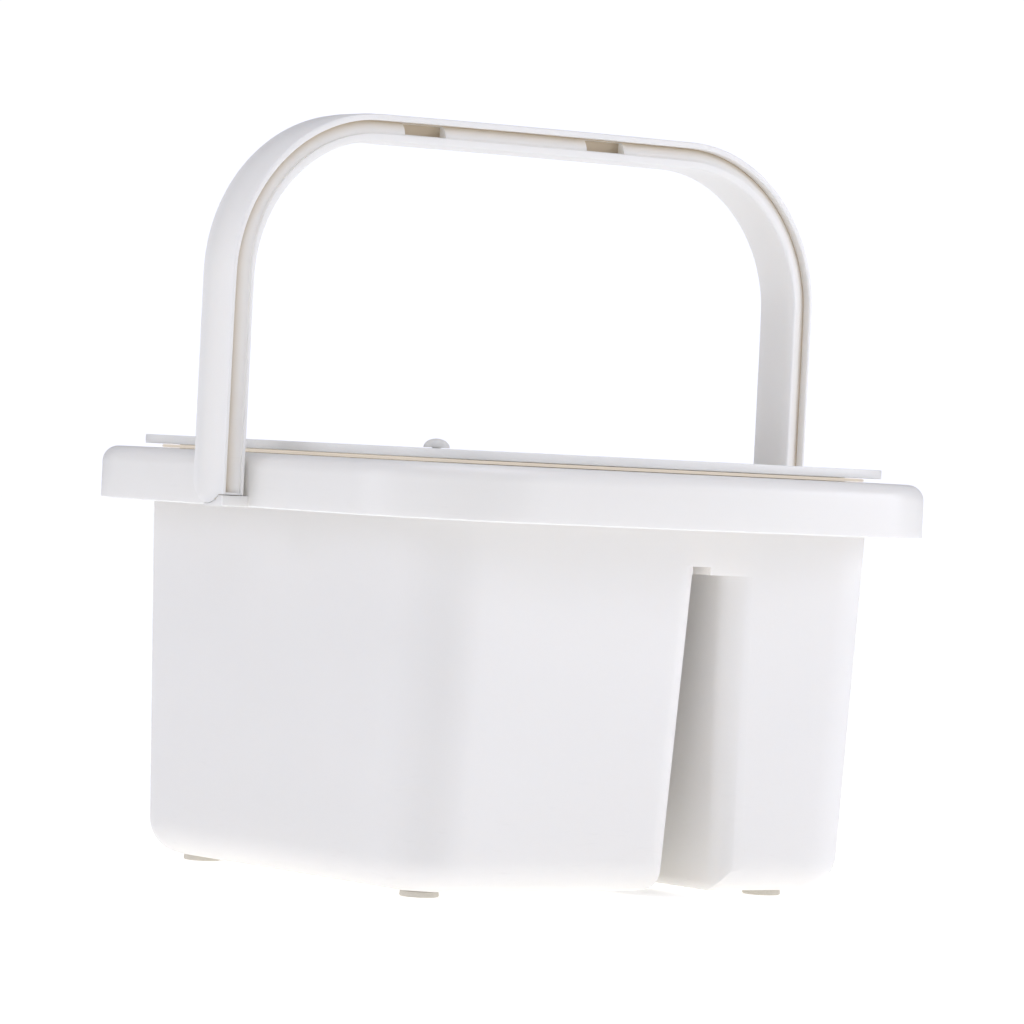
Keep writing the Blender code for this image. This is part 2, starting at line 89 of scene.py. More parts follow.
# Sizes in metres that hold for any settings. A pair on the slot is its value at the bottom and at the roof
COLLAR_HALF_X = 0.1535
COLLAR_HALF_Y = 0.1576
SLOT_LEFT = (0.0165, 0.0211)
SLOT_RIGHT = (0.0460, 0.0380)
SLOT_BOTTOM_ROUNDS = (0.0110, 0.0045)
SLOT_ROOF = COLLAR_BOX[0][2] - 0.0207
STEP_RIGHT = 0.0255
STEP_ROOF = COLLAR_BOX[0][2] - 0.0170
BRIDGE_RISE = 0.8
STRAP_WIDTH = HANDLE_BOX[1][1] - HANDLE_BOX[0][1]
STUB_RADIUS = 0.0040
STUB_REACH = 0.0100
BOSS_RADIUS = 0.0080
BORE_DEPTH = 0.0050
COLLAR_OVERLAP = 0.0010
COLLAR_EASE = 0.0006
RIB_DEPTH = 0.0040
RIB_WIDTH = 0.0020
GROOVE_END = COLLAR_BOX[0][2] + 0.0064
LUG_TOP = COLLAR_BOX[0][2] + 0.0050
LUG_BACK = 0.0027
LUG_INSET = 0.0001
PLATE_THICKNESS = 0.0042
PLATE_HOLE_RADIUS = 0.0023
SEAL_WIDTH = 0.0045
STEM_RADIUS = 0.0020
STEM_HEAD_RADII = (0.0024, 0.0034)
STEM_HEAD_STEP = 0.0006
STRAP_EASE = 0.0008
FLANGE_EASE_SHARE = 0.4
END_GROOVE_DEPTH = 0.00045
FACE_STEP = 0.00025
FACE_STEP_SLOPE = 0.0006
FACE_BAND = 0.0052
POCKETS_X = ((-0.0765, -0.0535), (0.0277, 0.0498))
POCKET_MARGIN = 0.0005
PAD_EASE = 0.0009
PAD_RING_DEPTH = 0.0005
RUNNING_GAP = 0.0003

# Patterns are given in millimetres; object coordinates are metres
MM_PER_M = 1000.0
SINK_MARK_MM = 90.0
SINK_MARK_RELIEF = 0.00018
STREAK_MM = 5.0
STREAK_STRETCH = (0.35, 0.35, 2.4)
SCUFF_SHADE = 0.96
SCUFF_ROUGHNESS = 0.12
SOAK_COLOUR = (1.0, 0.93, 0.86)
RUBBER_SPECK_SHADE = 0.82
RUBBER_RELIEF = 0.00008

# Linear tint of every lamp, a little bluer than the plastics
LAMP_TINT = (0.970, 0.982, 1.085)
LAMP_AIM = (0.0, 0.0, 0.12)
FLOOR_REACH = 12.0
FLOOR_GLOW = 0.46
BACKDROP_SEEN = 1.06
CAMERA_RIGHT = (0.81773777, -0.57344921, 0.04960787)
CAMERA_UP = (-0.03432969, 0.0374421, 0.99870895)


# ---------------------------------------------------------------- sizes and colours a user would change

class CaddyTubSettings(bpy.types.PropertyGroup):
    """Sizes and colour of the tub"""
    half_x_low: FloatProperty(name="Half width, bottom", description="Half the tub's width at its bottom",
                              default=0.1290, unit="LENGTH")
    half_x_high: FloatProperty(name="Half width, top", description="Half the tub's width at its top edge",
                               default=0.1305, unit="LENGTH")
    half_y_low: FloatProperty(name="Half depth, bottom", description="Half the tub's depth at its bottom",
                              default=0.1205, unit="LENGTH")
    half_y_high: FloatProperty(name="Half depth, top", description="Half the tub's depth at its top edge",
                               default=0.1311, unit="LENGTH")
    corner: FloatProperty(name="Corner radius", description="Radius of the tub's corners in plan",
                          default=0.0315, unit="LENGTH")
    wall: FloatProperty(name="Wall", description="Thickness of the walls and floor",
                        default=0.0030, unit="LENGTH")
    bottom_round: FloatProperty(name="Bottom edge radius", description="Radius of the edge under the walls",
                                default=0.0160, unit="LENGTH")
    slot_round: FloatProperty(name="Slot edge radius", description="Radius of the edges at the slot's mouths",
                              default=0.0120, unit="LENGTH")
    colour: StringProperty(name="Colour", description="Colour of the tub's plastic as sRGB hex",
                           default="F3F0EB")


class CaddyCollarSettings(bpy.types.PropertyGroup):
    """Sizes and colour of the collar"""
    corner: FloatProperty(name="Corner radius", description="Radius of the collar's corners in plan",
                          default=0.0564, unit="LENGTH")
    bow: FloatProperty(name="Bow", description="How far the front and back swell at their middle",
                       default=0.0120, unit="LENGTH")
    skin: FloatProperty(name="Skin", description="Thickness of the collar's skin",
                        default=0.0025, unit="LENGTH")
    top_round: FloatProperty(name="Top edge radius", description="Radius of the collar's top outer edge",
                             default=0.0075, unit="LENGTH")
    ledge: FloatProperty(name="Ledge", description="How far the lid ledge reaches inside the tub's outside",
                         default=0.0110, unit="LENGTH")
    colour: StringProperty(name="Colour", description="Colour of the collar's plastic as sRGB hex",
                           default="EDEBE6")


class CaddyLidSettings(bpy.types.PropertyGroup):
    """Sizes and colours of the lid, its seal and its knob"""
    inset: FloatProperty(name="Inset", description="How far the plate's edge stays inside the collar's",
                         default=0.0200, unit="LENGTH")
    edge: FloatProperty(name="Edge radius", description="Radius of the plate's edges",
                        default=0.0005, unit="LENGTH")
    lip: FloatProperty(name="Lip width", description="Width of the locating lip",
                       default=0.0020, unit="LENGTH")
    colour: StringProperty(name="Colour", description="Colour of the lid's plastic as sRGB hex",
                           default="F9F7F1")
    seal_colour: StringProperty(name="Seal colour", description="Colour of the sealing strip as sRGB hex",
                                default="E4DBD0")
    knob_colour: StringProperty(name="Knob colour", description="Colour of the knob as sRGB hex",
                                default="EFEDE6")


class CaddyHandleSettings(bpy.types.PropertyGroup):
    """Sizes and colour of the bail handle"""
    leg: FloatProperty(name="Leg thickness", description="Thickness of the strap in the legs",
                       default=0.0116, unit="LENGTH")
    bar: FloatProperty(name="Bar thickness", description="Thickness of the strap in the top bar",
                       default=0.0130, unit="LENGTH")
    shoulder: FloatProperty(name="Shoulder radius", description="Outer radius of the two shoulders",
                            default=0.0780, unit="LENGTH")
    crown: FloatProperty(name="Crown", description="Rise of the top bar at its middle",
                         default=0.0003, unit="LENGTH")
    leg_flanges: FloatVectorProperty(name="Leg flanges", size=2, default=(0.0018, 0.0016), unit="LENGTH",
                                     description="Thickness of the legs' outer and inner flange")
    bar_flanges: FloatVectorProperty(name="Bar flanges", size=2, default=(0.0031, 0.0038), unit="LENGTH",
                                     description="Thickness of the bar's outer and inner flange")
    groove: FloatProperty(name="Groove depth", description="Depth of the grooves beside the outer flange",
                          default=0.0045, unit="LENGTH")
    groove_inner: FloatProperty(name="Inner groove depth", default=0.0014, unit="LENGTH",
                                description="Depth of the grooves beside the inner flange")
    pocket: FloatProperty(name="Pocket depth", default=0.0022, unit="LENGTH",
                          description="Extra depth of the two pockets in the front groove")
    colour: StringProperty(name="Colour", description="Colour of the handle's plastic as sRGB hex",
                           default="F1EFEA")
    # painted shade: the tan the grooves' floors take where little light reaches them
    channel_painted_shade: StringProperty(name="Channel colour", default="CFBFA5",
                                   description="Colour of the dull channel floor as sRGB hex")


class CaddyFeetSettings(bpy.types.PropertyGroup):
    """Sizes and colour of the foot pads"""
    radius: FloatProperty(name="Radius", description="Radius of a foot pad",
                          default=0.0090, unit="LENGTH")
    colour: StringProperty(name="Colour", description="Colour of the pads as sRGB hex", default="E1DCD2")


class CaddyStageSettings(bpy.types.PropertyGroup):
    """Camera and light"""
    lens: FloatProperty(name="Lens", description="Focal length on a 36 mm sensor",
                        default=192.6, unit="CAMERA")
    air: FloatProperty(name="Air", description="How much light the white surroundings give",
                       default=0.275)
    top: FloatProperty(name="Top light", description="How much light comes from straight above",
                       default=0.34)
    key: FloatProperty(name="Key light", description="Power of the light on the front's side",
                       default=22.0, unit="POWER")
    side: FloatProperty(name="Side light", description="Power of the light on the left end's side",
                        default=9.8, unit="POWER")
    front: FloatProperty(name="Front light", description="Power of the light high on the camera's side",
                         default=6.5, unit="POWER")
    camera_at: FloatVectorProperty(name="Camera position", description="Where the camera stands", size=3,
                                   default=(-1.49160, -2.12902, 0.20188), subtype="TRANSLATION")


# ---------------------------------------------------------------- shapes

def blend_pair(low, high, t):
    """Straight-line value between low and high."""
    return low + (high - low) * t


def plan_outline(x_min, x_max, half_y, radii, bow=0.0):
    """Rounded rectangle in plan, anticlockwise from the front left corner.

    Corner k is a quarter circle of radius radii[k]; straight runs join the corners. Then y is multiplied by
    1 + bow / half_y * (1 - u^2), where u runs from -1 to 1 across the width, so front and back swell.
    """
    centres = np.array([(x_min + radii[0], -half_y + radii[0]), (x_max - radii[1], -half_y + radii[1]),
                        (x_max - radii[2], half_y - radii[2]), (x_min + radii[3], half_y - radii[3])])
    starts = np.array([HALF_TURN, HALF_TURN + QUARTER_TURN, 0.0, QUARTER_TURN])
    angles = starts[:, None] + np.linspace(0.0, QUARTER_TURN, CORNER_STEPS)[None, :]
    unit = np.stack([np.cos(angles), np.sin(angles)], axis=2)
    arcs = centres[:, None, :] + np.asarray(radii)[:, None, None] * unit
    t = np.linspace(0.0, 1.0, SIDE_STEPS + 1)[1:-1][None, :, None]
    ends = arcs[:, -1:, :]
    runs = ends + (np.roll(arcs[:, :1, :], -1, axis=0) - ends) * t
    ring = np.concatenate([arcs, runs], axis=1).reshape(-1, 2)
    u = (ring[:, 0] - 0.5 * (x_min + x_max)) / (0.5 * (x_max - x_min))
    ring[:, 1] *= 1.0 + bow / half_y * (1.0 - u ** 2)
    return ring


def lifted(ring, z):
    """Plan ring placed at height z."""
    return np.column_stack([ring, np.full(len(ring), z)])


def mesh_from(name, vertices, faces):
    """Object at the origin from a vertex array and a face list."""
    mesh = bpy.data.meshes.new(name)
    mesh.from_pydata(np.asarray(vertices).tolist(), [], faces)
    mesh.update()
    piece = bpy.data.objects.new(name, mesh)
    bpy.context.scene.collection.objects.link(piece)
    return piece


def skin(name, rings, closed=False):
    """Surface over equal rings: quad (k, i) joins points i and i + 1 of rings k and k + 1.

    The end rings are capped, or joined to each other if closed.
    """
    grid = np.stack(rings)
    levels, around = grid.shape[:2]
    ids = np.arange(levels * around).reshape(levels, around)
    if closed:
        ids = np.concatenate([ids, ids[:1]])
    turned = np.roll(ids, -1, axis=1)
    quads = np.stack([ids[:-1], turned[:-1], turned[1:], ids[1:]], axis=2).reshape(-1, 4).tolist()
    if not closed:
        quads.append(ids[0, ::-1].tolist())
        quads.append(ids[-1].tolist())
    return mesh_from(name, grid.reshape(-1, 3), quads)


def turned_solid(name, profile, centre, segments=64):
    """Solid of revolution: each (radius, z) of the profile becomes a ring about centre."""
    profile = np.asarray(profile)
    angles = np.linspace(0.0, FULL_TURN, segments, endpoint=False)
    x = centre[0] + profile[:, :1] * np.cos(angles)[None, :]
    y = centre[1] + profile[:, :1] * np.sin(angles)[None, :]
    z = np.repeat(centre[2] + profile[:, 1:], segments, axis=1)
    return skin(name, list(np.stack([x, y, z], axis=2)))


def bar_along_x(name, x_from, x_to, profile):
    """Prism: the closed (y, z) profile carried from x_from to x_to."""
    profile = np.asarray(profile)
    return skin(name, [np.column_stack([np.full(len(profile), x), profile]) for x in (x_from, x_to)])


def rod_along_x(name, x_from, x_to, radius, z, segments=48):
    """Rod: a circle in (y, z) about height z, carried along X."""
    angles = np.linspace(0.0, FULL_TURN, segments, endpoint=False)
    circle = np.column_stack([radius * np.cos(angles), z + radius * np.sin(angles)])
    return bar_along_x(name, x_from, x_to, circle)


def block(name, low, high):
    """Block between two corners."""
    ring = np.array([(low[0], low[1]), (high[0], low[1]), (high[0], high[1]), (low[0], high[1])])
    return skin(name, [lifted(ring, low[2]), lifted(ring, high[2])])


def combine(piece, steps):
    """Apply exact Booleans in order, then remove the tools."""
    for tool, operation in steps:
        modifier = piece.modifiers.new(tool.name, "BOOLEAN")
        modifier.operation = operation
        modifier.solver = "EXACT"
        modifier.object = tool
    evaluated = piece.evaluated_get(bpy.context.evaluated_depsgraph_get())
    finished = bpy.data.meshes.new_from_object(evaluated)
    piece.modifiers.clear()
    old = piece.data
    piece.data = finished
    bpy.data.meshes.remove(old)
    for tool, _ in steps:
        bpy.data.objects.remove(tool, do_unlink=True)


def soften(piece, degrees=32.0):
    """Smooth shading with real edges kept crisp."""
    piece.data.shade_smooth()
    piece.data.set_sharp_from_angle(angle=math.radians(degrees))


def finish_piece(piece, material, body, node):
    """Give a piece its material, body and the CAD node that it stands for."""
    piece.data.materials.clear()
    piece.data.materials.append(material)
    soften(piece)
    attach(piece, body)
    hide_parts(node)


def rise_of(z):
    """Height z as a share of the way from the tub's underside to the collar's top."""
    return (z - TUB_BOX[0][2]) / (COLLAR_BOX[1][2] - TUB_BOX[0][2])


def tub_ring(settings, z, inset):
    """Tub outline at height z: half sizes grow linearly from bottom to top, less the inset."""
    t = rise_of(z)
    half_x = blend_pair(settings.half_x_low, settings.half_x_high, t) - inset
    half_y = blend_pair(settings.half_y_low, settings.half_y_high, t) - inset
    return plan_outline(-half_x, half_x, half_y, [settings.corner - inset] * 4)


def collar_ring(settings, inset):
    """Collar outline drawn in by inset."""
    half_x = COLLAR_HALF_X - inset
    radii = [settings.corner - inset] * 4
    return plan_outline(-half_x, half_x, COLLAR_HALF_Y - inset, radii, settings.bow)


def tub_shell(settings):
    """Outer block: rings follow a quarter circle under the walls, then the straight draft to the top."""
    bottom = TUB_BOX[0][2]
    bend = np.linspace(0.0, QUARTER_TURN, 12)
    insets = settings.bottom_round * (1.0 - np.sin(bend))
    heights = bottom + settings.bottom_round * (1.0 - np.cos(bend))
    rings = [lifted(tub_ring(settings, z, inset), z) for z, inset in zip(heights, insets)]
    walls = np.linspace(heights[-1], TUB_BOX[1][2], 12)[1:]
    rings += [lifted(tub_ring(settings, z, 0.0), z) for z in walls]
    return skin("tub_shell", rings)


def slot_side(settings, edge, outwards, half_y):
    """One wall of the slot in plan, back to front.

    Each end is flared by a quarter circle, r(1 - cos a) across and r(1 - sin a) along.
    """
    r = settings.slot_round
    bend = np.linspace(0.0, QUARTER_TURN, 12)
    flare = np.append(r * (1.0 - np.cos(bend)), r)
    along = np.append(half_y - r * (1.0 - np.sin(bend)), half_y + r)
    return np.column_stack([edge + outwards * np.concatenate([flare[::-1], flare]),
                            np.concatenate([along[::-1], -along])])


def slot_ring(settings, z, left, right):
    """Slot in plan at height z, between two x positions."""
    half_y = blend_pair(settings.half_y_low, settings.half_y_high, rise_of(z))
    walls = [slot_side(settings, right, 1.0, half_y)[::-1], slot_side(settings, left, -1.0, half_y)]
    return lifted(np.concatenate(walls), z)


def slot_space(settings):
    """The slot as a solid: each wall turns out by its own quarter circle towards the underside."""
    bottom = TUB_BOX[0][2]
    left_round, right_round = SLOT_BOTTOM_ROUNDS
    rings = [slot_ring(settings, bottom - settings.wall, SLOT_LEFT[0] - left_round,
                       SLOT_RIGHT[0] + right_round)]
    for a in np.linspace(0.0, QUARTER_TURN, 16):
        z = bottom + left_round * (1.0 - math.cos(a))
        t = (z - bottom) / (SLOT_ROOF - bottom)
        fall = max(1.0 - (z - bottom) / right_round, 0.0)
        left = blend_pair(*SLOT_LEFT, t) - left_round * (1.0 - math.sin(a))
        right = blend_pair(*SLOT_RIGHT, t) + right_round * (1.0 - math.sqrt(1.0 - fall ** 2))
        rings.append(slot_ring(settings, z, left, right))
    rings.append(slot_ring(settings, SLOT_ROOF, SLOT_LEFT[1], SLOT_RIGHT[1]))
    return skin("slot_space", rings)


def step_space(settings):
    """Shallow step in the slot's roof: straight on one side, flared like the slot's wall on the other."""
    half_y = blend_pair(settings.half_y_low, settings.half_y_high, BRIDGE_RISE)
    side = slot_side(settings, SLOT_LEFT[1], -1.0, half_y)
    straight = np.array([(STEP_RIGHT, -side[0, 1]), (STEP_RIGHT, side[0, 1])])
    ring = np.concatenate([straight, side])
    return skin("step_space", [lifted(ring, SLOT_ROOF - 0.5 * settings.wall), lifted(ring, STEP_ROOF)])


def compartment_space(settings, name, is_large):
    """Inside of a compartment: drafted rings that follow a quarter circle up from the floor."""
    wall = settings.wall
    inner = settings.slot_round - wall
    outer = settings.corner - wall
    sweep = settings.bottom_round - wall
    floor = TUB_BOX[0][2] + wall
    bend = np.linspace(0.0, QUARTER_TURN, 10)
    heights = np.append(floor + sweep * (1.0 - np.cos(bend)), COLLAR_BOX[1][2] + wall)
    insets = np.append(sweep * (1.0 - np.sin(bend)), 0.0)
    rings = []
    for z, inset in zip(heights, insets):
        rise = rise_of(z)
        t = (z - TUB_BOX[0][2]) / (SLOT_ROOF - TUB_BOX[0][2])
        side = blend_pair(settings.half_x_low, settings.half_x_high, rise) - wall - inset
        half_y = blend_pair(settings.half_y_low, settings.half_y_high, rise) - wall - inset
        if is_large:
            right = blend_pair(*SLOT_LEFT, t) - wall - inset
            ring = plan_outline(-side, right, half_y, [outer, inner, inner, outer])
        else:
            left = blend_pair(*SLOT_RIGHT, t) + wall + inset
            ring = plan_outline(left, side, half_y, [inner, outer, outer, inner])
        rings.append(lifted(ring, z))
    return skin(name, rings)


def build_tub(settings):
    """Tub shell less its slot, roof step, compartments and middle tray."""
    tub = tub_shell(settings)
    wall = settings.wall
    tray = blend_pair(settings.half_y_low, settings.half_y_high, BRIDGE_RISE) - wall
    middle = block("tray_space", (SLOT_LEFT[1] + wall, -tray, STEP_ROOF + wall),
                   (SLOT_RIGHT[1] - wall, tray, COLLAR_BOX[1][2] + wall))
    spaces = (slot_space(settings), step_space(settings), compartment_space(settings, "large_space", True),
              compartment_space(settings, "small_space", False), middle)
    combine(tub, [(space, "DIFFERENCE") for space in spaces])
    return tub


def collar_shell(tub, settings):
    """Collar section carried round the plan.

    It runs up the skirt, over the quarter-round top edge, in along the top to the ledge, under it to the
    rib outside the tub, and back down the skirt's inside.
    """
    low, top = COLLAR_BOX[0][2], COLLAR_BOX[1][2]
    under = top - settings.skin
    bend = np.linspace(0.0, QUARTER_TURN, 14)
    edge = COLLAR_EASE
    rings = [lifted(collar_ring(settings, edge), low), lifted(collar_ring(settings, 0.0), low + edge)]
    rings += [lifted(collar_ring(settings, settings.top_round * (1.0 - math.cos(a))),
                     top - settings.top_round * (1.0 - math.sin(a))) for a in bend]
    grip = -2.0 * RUNNING_GAP
    rib = grip - RIB_WIDTH
    for inset, z in ((settings.ledge - edge, top), (settings.ledge, top - edge), (settings.ledge, under),
                     (grip, under), (grip, under - RIB_DEPTH), (rib, under - RIB_DEPTH), (rib, under)):
        rings.append(lifted(tub_ring(tub, top, inset), z))
    rings.append(lifted(collar_ring(settings, settings.top_round), under))
    rings.append(lifted(collar_ring(settings, settings.skin), top - settings.top_round))
    rings.append(lifted(collar_ring(settings, settings.skin), low))
    return skin("collar_shell", rings, closed=True)


def leg_lug(side):
    """Lug: square in front, its top hollowed by an arc about the pivot."""
    radius = 0.5 * STRAP_WIDTH + RUNNING_GAP
    first = HALF_TURN + math.asin((PIVOT_Z - LUG_TOP) / radius)
    last = HALF_TURN + QUARTER_TURN + math.asin(LUG_BACK / radius)
    bend = np.linspace(last, first, 24)
    seat = np.column_stack([radius * np.cos(bend), PIVOT_Z + radius * np.sin(bend)])
    low = COLLAR_BOX[0][2]
    half = 0.5 * STRAP_WIDTH
    corner = np.array([(-half, LUG_TOP), (-half, low + COLLAR_EASE), (-half + COLLAR_EASE, low),
                       (LUG_BACK, low)])
    edges = sorted((side * (COLLAR_HALF_X - COLLAR_OVERLAP), side * (CAD_BOX[1][0] - LUG_INSET)))
    return bar_along_x("lug_%d" % side, edges[0], edges[1], np.concatenate([corner, seat]))


def build_collar(tub, settings, handle):
    """Collar shell with its lugs, bosses and bearing bores."""
    collar = collar_shell(tub, settings)
    inside = COLLAR_HALF_X - COLLAR_OVERLAP
    face = CAD_BOX[1][0] - handle.leg - RUNNING_GAP
    steps = []
    for side in (-1, 1):
        ends = sorted((side * inside, side * face))
        steps.append((leg_lug(side), "UNION"))
        steps.append((rod_along_x("boss_%d" % side, *ends, BOSS_RADIUS, PIVOT_Z), "UNION"))
    for side in (-1, 1):
        ends = sorted((side * (COLLAR_HALF_X - BORE_DEPTH), side * CAD_BOX[1][0]))
        bore = rod_along_x("bore_%d" % side, *ends, STUB_RADIUS + RUNNING_GAP, PIVOT_Z)
        steps.append((bore, "DIFFERENCE"))
    combine(collar, steps)
    return collar


def build_lid(tub, collar, settings):
    """Plate with quarter-round edges over a shallow locating lip, as rings from underside to top."""
    low = LID_BOX[1][2] - PLATE_THICKNESS
    high = LID_BOX[1][2]
    lip_low = LID_BOX[0][2]
    top = COLLAR_BOX[1][2]
    outer = collar.ledge + 3.0 * RUNNING_GAP
    rings = [lifted(tub_ring(tub, top, inset), z) for inset, z in (
        (outer + settings.lip, low), (outer + settings.lip, lip_low), (outer, lip_low), (outer, low))]
    bend = np.linspace(0.0, QUARTER_TURN, 6)
    rings += [lifted(collar_ring(collar, settings.inset + settings.edge * (1.0 - math.sin(a))),
                     low + settings.edge * (1.0 - math.cos(a))) for a in bend]
    rings += [lifted(collar_ring(collar, settings.inset + settings.edge * (1.0 - math.cos(a))),
                     high - settings.edge * (1.0 - math.sin(a))) for a in bend]
    lid = skin("lid_plate", rings)
    centre = 0.5 * (KNOB_BOX[0][0] + KNOB_BOX[1][0])
    reach = ((PLATE_HOLE_RADIUS, 0.1), (PLATE_HOLE_RADIUS, 0.3))
    hole = turned_solid("knob_hole", reach, (centre, 0.0, 0.0), 40)
    combine(lid, [(hole, "DIFFERENCE")])
    return lid


def build_seal(collar):
    """Strip section with rounded outer and inner edges, carried round the lid."""
    low, high = SEAL_BOX[0][2], SEAL_BOX[1][2]
    outer = COLLAR_HALF_X - SEAL_BOX[1][0]
    half = 0.5 * (high - low)
    inner = outer + SEAL_WIDTH
    bend = np.linspace(-QUARTER_TURN, QUARTER_TURN, 7)
    rings = [lifted(collar_ring(collar, outer + half * (1.0 - math.cos(a))),
                    low + half * (1.0 + math.sin(a))) for a in bend]
    rings += [lifted(collar_ring(collar, inner - half * (1.0 - math.cos(a))),
                     low + half * (1.0 - math.sin(a))) for a in bend]
    return skin("seal_strip", rings, closed=True)


def build_knob():
    """Stem and retaining head under a dome of radius R cos(a) and height H sin(a) / sin(last a)."""
    radius = 0.5 * (KNOB_BOX[1][0] - KNOB_BOX[0][0])
    base = LID_BOX[1][2] + RUNNING_GAP
    head = KNOB_BOX[0][2] - base
    height = KNOB_BOX[1][2] - base
    last = 0.49 * math.pi
    bend = np.linspace(0.0, last, 20)
    dome = np.column_stack([radius * np.cos(bend), height * np.sin(bend) / math.sin(last)])
    tip, wide = STEM_HEAD_RADII
    stem = np.array([(tip, head), (wide, head + STEM_HEAD_STEP), (wide, head + 2.0 * STEM_HEAD_STEP),
                     (STEM_RADIUS, head + 2.0 * STEM_HEAD_STEP), (STEM_RADIUS, 0.0)])
    centre = 0.5 * (KNOB_BOX[0][0] + KNOB_BOX[1][0])
    return turned_solid("knob_dome", np.concatenate([stem, dome]), (centre, 0.0, base))


def bail_stations(settings):
    """Outer line of the bail as rows (x, z, normal angle).

    A straight leg, a quarter-circle shoulder, a bar crowned by c(1 - u^2), and both again mirrored.
    """
    half = CAD_BOX[1][0]
    top = HANDLE_BOX[1][2] - settings.crown
    shoulder_z = top - settings.shoulder
    low = PIVOT_Z - 0.5 * STRAP_WIDTH - RUNNING_GAP
    leg_z = np.concatenate([[low, GROOVE_END, GROOVE_END], np.linspace(GROOVE_END, shoulder_z, 8)[1:-1]])
    leg = np.column_stack([np.full(len(leg_z), -half), leg_z, np.full(len(leg_z), HALF_TURN)])
    angle = np.linspace(HALF_TURN, QUARTER_TURN, 37)
    bend = np.column_stack([-half + settings.shoulder * (1.0 + np.cos(angle)),
                            shoulder_z + settings.shoulder * np.sin(angle), angle])
    flat = half - settings.shoulder
    x = np.linspace(-flat, flat, 41)[1:-1]
    bar = np.column_stack([x, top + settings.crown * (1.0 - (x / flat) ** 2), np.full(len(x), QUARTER_TURN)])
    left = np.concatenate([leg, bend])
    right = left[::-1] * np.array([-1.0, 1.0, -1.0]) + np.array([0.0, 0.0, HALF_TURN])
    return np.concatenate([left, bar, right])


def strap_profile(thickness, flanges, depths):
    """Strap section (distance in from the outer face, y), every edge eased by an arc.

    The outer face is raised by a small step in a band along its middle.

    The groove's floor is deepest beside the outer flange and rises to the inner one: its depth is
    d1 + (d0 - d1)(1 - u)^2, with u from 0 to 1 across the groove.
    """
    half = 0.5 * STRAP_WIDTH
    ease = STRAP_EASE
    lip = FLANGE_EASE_SHARE * ease
    bend = np.linspace(0.0, QUARTER_TURN, 5)
    outer, inner = flanges[0], thickness - flanges[1]
    u = np.linspace(0.0, 1.0, 7)
    floor = np.column_stack([blend_pair(outer + 0.0001, inner - 0.0001, u),
                             -half + depths[1] + (depths[0] - depths[1]) * (1.0 - u) ** 2])
    front = np.array(
        [(FACE_STEP + ease * (1.0 - math.cos(a)), -half + ease * (1.0 - math.sin(a))) for a in bend]
        + [(outer - lip * (1.0 - math.sin(a)), -half + lip * (1.0 - math.cos(a))) for a in bend]
        + floor.tolist()
        + [(inner + lip * (1.0 - math.cos(a)), -half + lip * (1.0 - math.sin(a))) for a in bend]
        + [(thickness - ease * (1.0 - math.sin(a)), -half + ease * (1.0 - math.cos(a))) for a in bend])
    back = front[::-1] * np.array([1.0, -1.0])
    edge = half - FACE_BAND
    face = np.array([(FACE_STEP, edge), (0.0, edge - FACE_STEP_SLOPE), (0.0, -edge + FACE_STEP_SLOPE),
                     (FACE_STEP, -edge)])
    return np.concatenate([front, back, face])


def bail_rings(settings):
    """Strap sections set along the bail; the strap thickens by 3t^2 - 2t^3 from below the shoulders up."""
    stations = bail_stations(settings)
    thicken_from = HANDLE_BOX[1][2] - settings.crown - 1.25 * settings.shoulder
    leg_flanges, bar_flanges = np.array(settings.leg_flanges), np.array(settings.bar_flanges)
    rings = []
    for index, (x, z, angle) in enumerate(stations):
        rise = min(max((z - thicken_from) / settings.shoulder, 0.0), 1.0)
        blend = rise * rise * (3.0 - 2.0 * rise)
        depths = (settings.groove, settings.groove_inner)
        if min(index, len(stations) - 1 - index) < 2:
            depths = (END_GROOVE_DEPTH, END_GROOVE_DEPTH)
        section = strap_profile(blend_pair(settings.leg, settings.bar, blend),
                                blend_pair(leg_flanges, bar_flanges, blend), depths)
        rings.append(np.column_stack([x - section[:, 0] * math.cos(angle), section[:, 1],
                                      z - section[:, 0] * math.sin(angle)]))
    return rings


def leg_end_space(settings):
    """Space outside a leg's end: level under the front heel, then an arc about the pivot to the back."""
    radius = 0.5 * STRAP_WIDTH
    heel = LUG_TOP + RUNNING_GAP
    reach = STRAP_WIDTH
    start = HALF_TURN + math.asin((PIVOT_Z - heel) / radius)
    bend = np.linspace(start, FULL_TURN, 40)
    arc = np.column_stack([radius * np.cos(bend), PIVOT_Z + radius * np.sin(bend)])
    outside = np.array([(reach, PIVOT_Z), (reach, PIVOT_Z - reach), (-reach, PIVOT_Z - reach),
                        (-reach, heel)])
    profile = np.concatenate([arc, outside])[::-1]
    return bar_along_x("leg_end_space", -1.2 * CAD_BOX[1][0], 1.2 * CAD_BOX[1][0], profile)


def build_handle(settings):
    """Grooved strap with round leg ends, pivot stubs and two deeper pockets in the bar's front groove."""
    bail = skin("bail_strap", bail_rings(settings))
    steps = [(leg_end_space(settings), "DIFFERENCE")]
    for side in (-1, 1):
        ends = sorted((side * (CAD_BOX[1][0] - 0.5 * settings.leg),
                       side * (CAD_BOX[1][0] - settings.leg - STUB_REACH)))
        steps.append((rod_along_x("stub_%d" % side, *ends, STUB_RADIUS, PIVOT_Z), "UNION"))
    top = HANDLE_BOX[1][2] - settings.crown
    high_z = top - settings.bar_flanges[0] - POCKET_MARGIN
    low_z = top - settings.bar + settings.bar_flanges[1] + POCKET_MARGIN
    face = HANDLE_BOX[0][1]
    for number, (x_from, x_to) in enumerate(POCKETS_X):
        low = (x_from, face - settings.groove, low_z)
        high = (x_to, face + settings.groove + settings.pocket, high_z)
        steps.append((block("pocket_%d" % number, low, high), "DIFFERENCE"))
    combine(bail, steps)
    return bail


